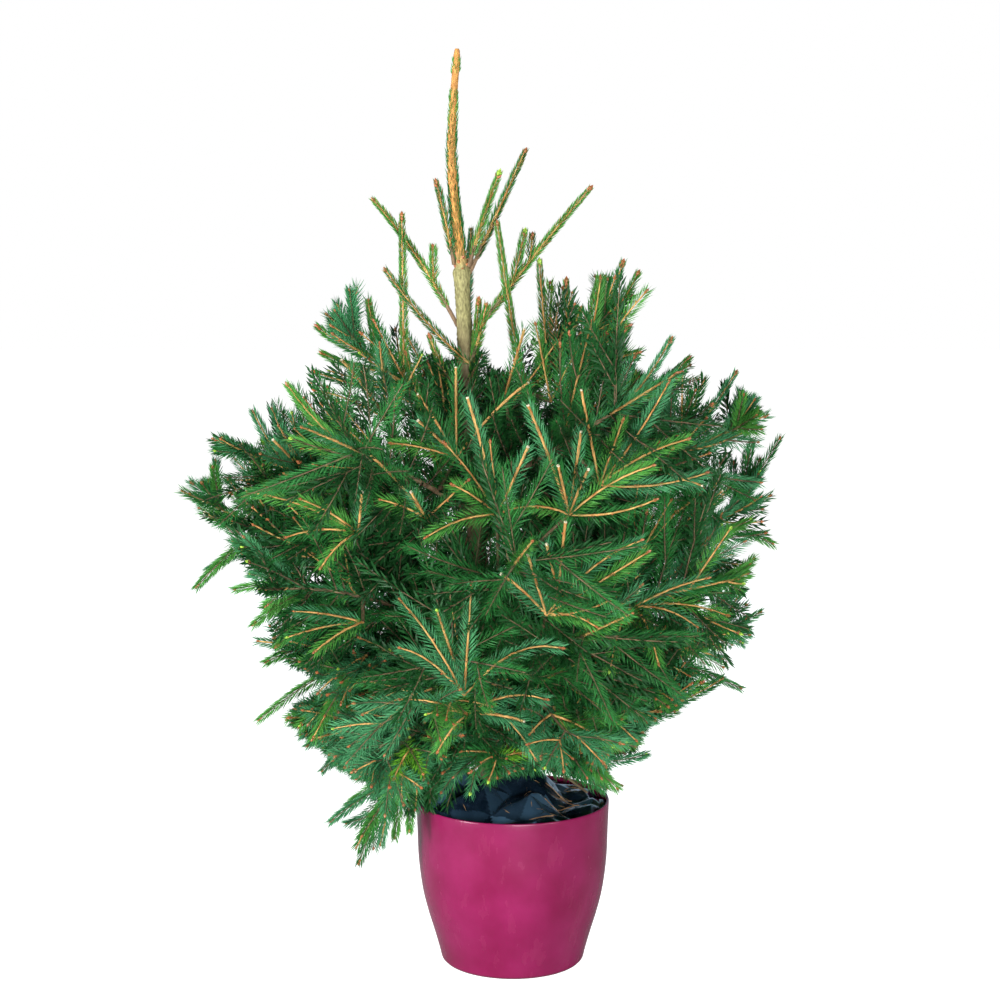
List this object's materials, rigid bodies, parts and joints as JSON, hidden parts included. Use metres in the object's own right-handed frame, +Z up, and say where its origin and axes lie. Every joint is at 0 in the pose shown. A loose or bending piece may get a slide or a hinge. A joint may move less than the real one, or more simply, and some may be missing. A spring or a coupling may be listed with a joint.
{
  "type": "potted norway spruce",
  "caption": "Young Norway spruce with a leaning trunk, whorled boughs and needle sprays, standing in a round plastic pot on its film-wrapped root ball.",
  "frame": {"origin": "centre of the pot's flat underside", "axes": "+Z up along the plant; -Y towards the front, +X to the right seen from the front"},
  "size_m": [0.8173, 0.7034, 1.2121],
  "materials": {
    "pot_plastic": "satin raspberry red moulded plastic",
    "black_film": "glossy crumpled black film",
    "bark": "thin scaly orange-brown to grey-brown bark",
    "needles": "stiff waxy deep green needles"
  },
  "bodies": {
    "root": {"pot": "pot_plastic", "root_ball": "black_film", "trunk": "bark", "bough_d_left": "bark", "bough_d_right": "bark", "bough_d_back_right": "bark", "bough_d_front_right": "bark", "bough_d_front_left": "bark", "bough_d_back": "bark", "bough_e_left": "bark", "bough_e_left_low": "bark", "bough_e_right": "bark", "bough_e_right_low": "bark", "bough_e_front": "bark", "bough_e_back_left": "bark", "bough_e_back_right": "bark", "bough_f_left": "bark", "bough_f_right": "bark", "bough_f_front_right": "bark", "bough_g_left": "bark", "bough_g_right": "bark", "bough_g_front": "bark", "bough_g_low_left": "bark", "bough_g_low_right": "bark", "bough_g_back": "bark", "spray_top_left": "needles", "spray_top_right": "needles", "spray_top_far_right": "needles", "spray_top_back": "needles", "spray_upper_left": "needles", "spray_upper_right": "needles", "spray_upper_front_right": "needles", "spray_upper_front_left": "needles", "spray_upper_back": "needles", "spray_shoulder_left": "needles", "spray_shoulder_right": "needles", "spray_shoulder_back": "needles", "spray_d_left": "needles", "spray_d_right": "needles", "spray_d_back_right": "needles", "spray_d_front_right": "needles", "spray_d_front_left": "needles", "spray_d_back": "needles", "spray_e_left": "needles", "spray_e_left_low": "needles", "spray_e_right": "needles", "spray_e_right_low": "needles", "spray_e_front": "needles", "spray_e_back_left": "needles", "spray_e_back_right": "needles", "spray_f_left": "needles", "spray_f_right": "needles", "spray_f_front_right": "needles", "spray_g_left": "needles", "spray_g_right": "needles", "spray_g_front": "needles", "spray_g_low_left": "needles", "spray_g_low_right": "needles", "spray_g_back": "needles"}
  },
  "joints": []
}
